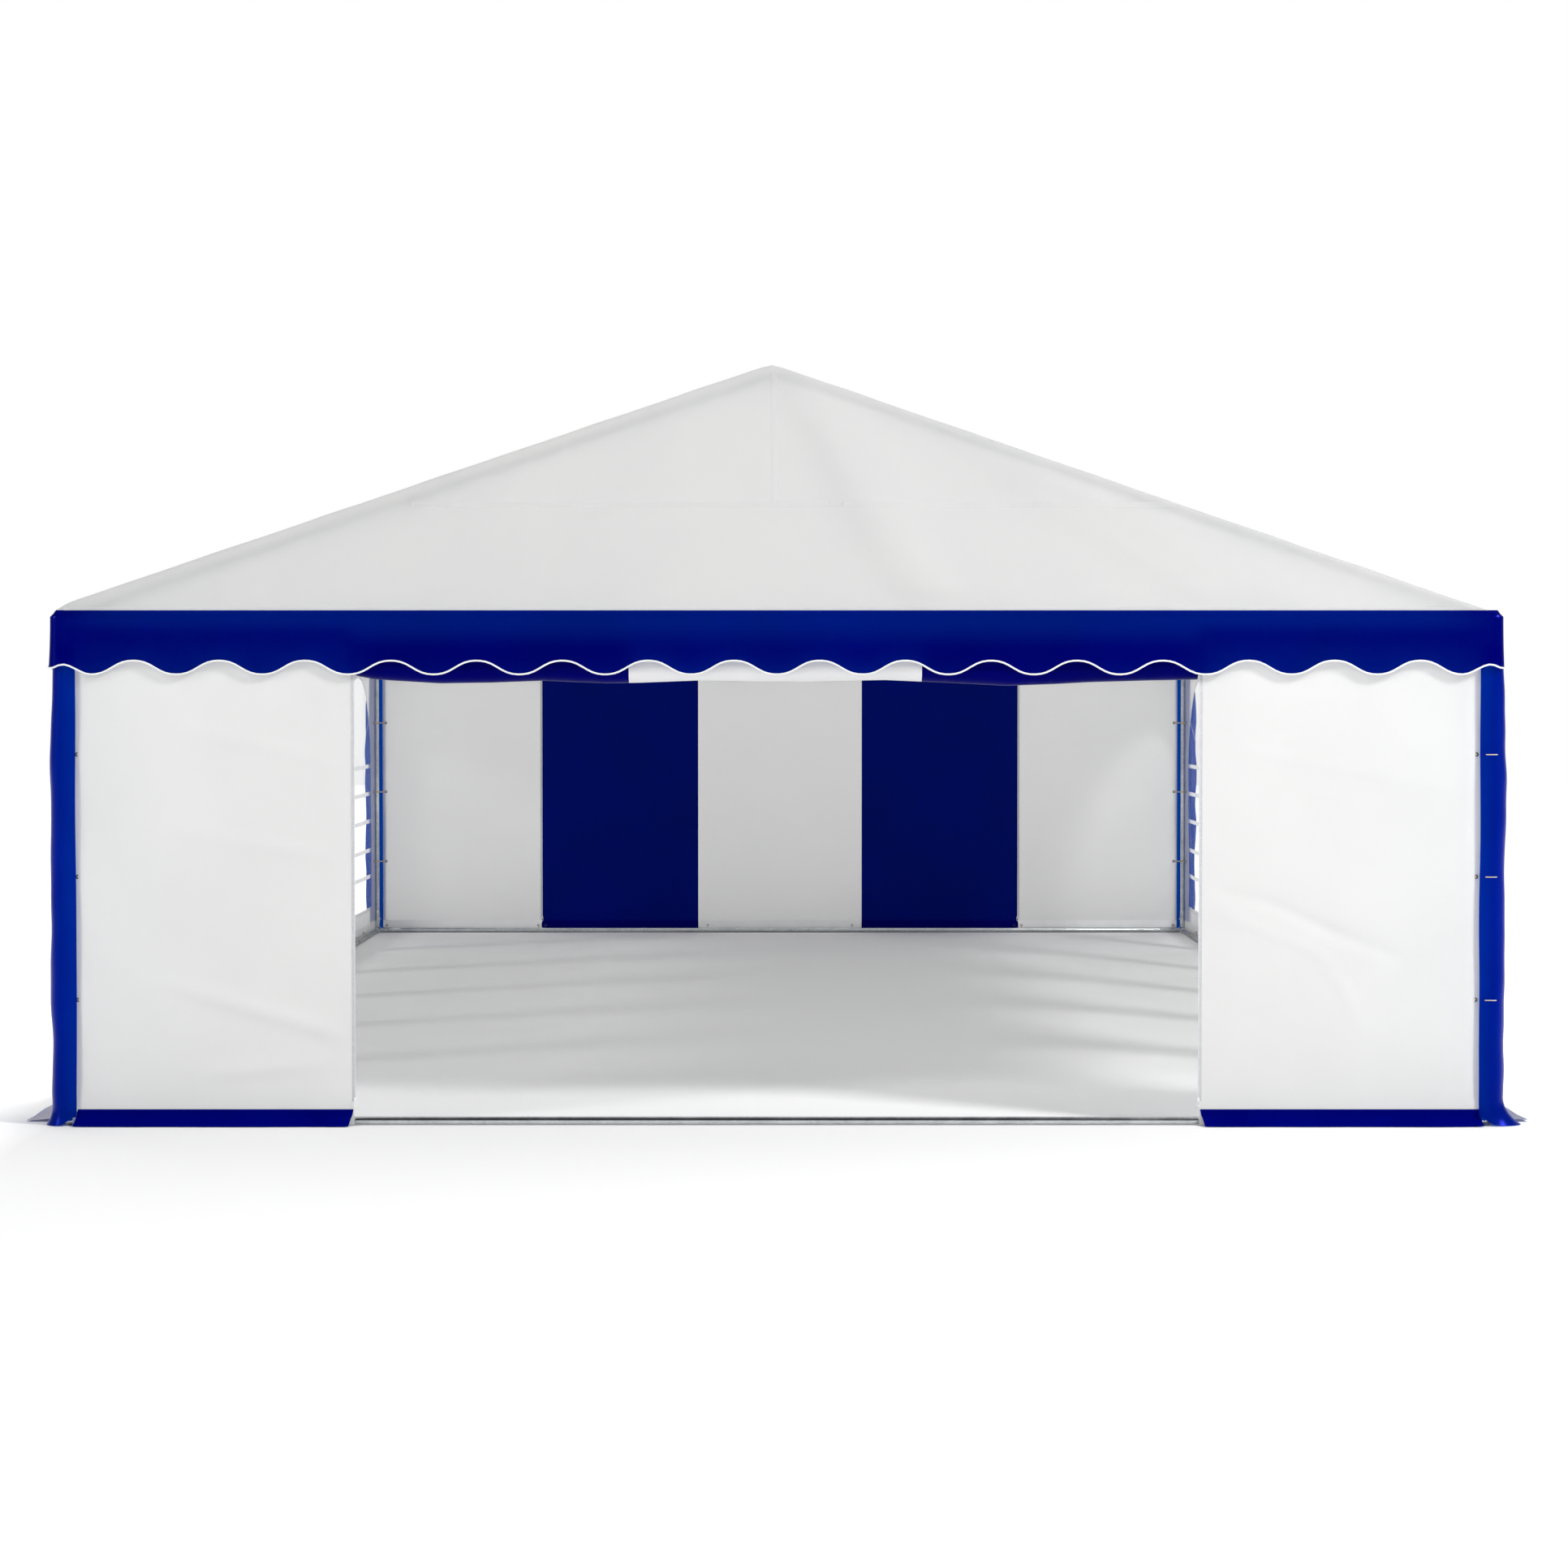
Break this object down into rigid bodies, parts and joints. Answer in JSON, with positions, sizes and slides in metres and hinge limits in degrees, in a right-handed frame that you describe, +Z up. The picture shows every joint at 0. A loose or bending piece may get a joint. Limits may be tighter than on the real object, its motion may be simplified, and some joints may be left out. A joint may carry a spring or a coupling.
{
  "type": "party tent",
  "caption": "Gable party tent with white walls, blue scalloped valance and trim, arched clear windows and a rolled-up door.",
  "frame": {"origin": "on the ground in the middle of the tent's floor", "axes": "+Z up, +Y along the length from the open doorway in the front gable to the back gable, +X to the right seen from the front"},
  "size_m": [6.1378, 12.1342, 3.133],
  "materials": {
    "white_tarpaulin": "smooth PVC-coated cloth",
    "blue_tarpaulin": "glossy PVC-coated cloth",
    "clear_film": "clear flexible PVC film",
    "galvanised_tube": "galvanised"
  },
  "bodies": {
    "root": {"leg_left_1": "galvanised_tube", "leg_left_2": "galvanised_tube", "leg_left_3": "galvanised_tube", "leg_left_4": "galvanised_tube", "leg_left_5": "galvanised_tube", "leg_left_6": "galvanised_tube", "leg_left_7": "galvanised_tube", "rafter_left_1": "galvanised_tube", "rafter_left_2": "galvanised_tube", "rafter_left_3": "galvanised_tube", "rafter_left_4": "galvanised_tube", "rafter_left_5": "galvanised_tube", "rafter_left_6": "galvanised_tube", "rafter_left_7": "galvanised_tube", "eaves_bar_left": "galvanised_tube", "ground_bar_left": "galvanised_tube", "leg_right_1": "galvanised_tube", "leg_right_2": "galvanised_tube", "leg_right_3": "galvanised_tube", "leg_right_4": "galvanised_tube", "leg_right_5": "galvanised_tube", "leg_right_6": "galvanised_tube", "leg_right_7": "galvanised_tube", "rafter_right_1": "galvanised_tube", "rafter_right_2": "galvanised_tube", "rafter_right_3": "galvanised_tube", "rafter_right_4": "galvanised_tube", "rafter_right_5": "galvanised_tube", "rafter_right_6": "galvanised_tube", "rafter_right_7": "galvanised_tube", "eaves_bar_right": "galvanised_tube", "ground_bar_right": "galvanised_tube", "ridge_bar": "galvanised_tube", "crossbar_front": "galvanised_tube", "ground_bar_front": "galvanised_tube", "crossbar_back": "galvanised_tube", "ground_bar_back": "galvanised_tube", "roof_slope_left": "white_tarpaulin", "valance_left": "blue_tarpaulin", "side_wall_left": "white_tarpaulin", "window_film_left": "clear_film", "front_panel_left": "white_tarpaulin", "back_panel_left": "white_tarpaulin", "ground_flap_left": "blue_tarpaulin", "roof_slope_right": "white_tarpaulin", "valance_right": "blue_tarpaulin", "side_wall_right": "white_tarpaulin", "window_film_right": "clear_film", "front_panel_right": "white_tarpaulin", "back_panel_right": "white_tarpaulin", "ground_flap_right": "blue_tarpaulin", "gable_front": "white_tarpaulin", "gable_back": "white_tarpaulin", "front_door_roll": "white_tarpaulin", "back_door": "white_tarpaulin", "ground_flap_back": "blue_tarpaulin", "corner_cover_front_left": "blue_tarpaulin", "corner_cover_front_right": "blue_tarpaulin", "corner_cover_back_left": "blue_tarpaulin", "corner_cover_back_right": "blue_tarpaulin"}
  },
  "joints": []
}
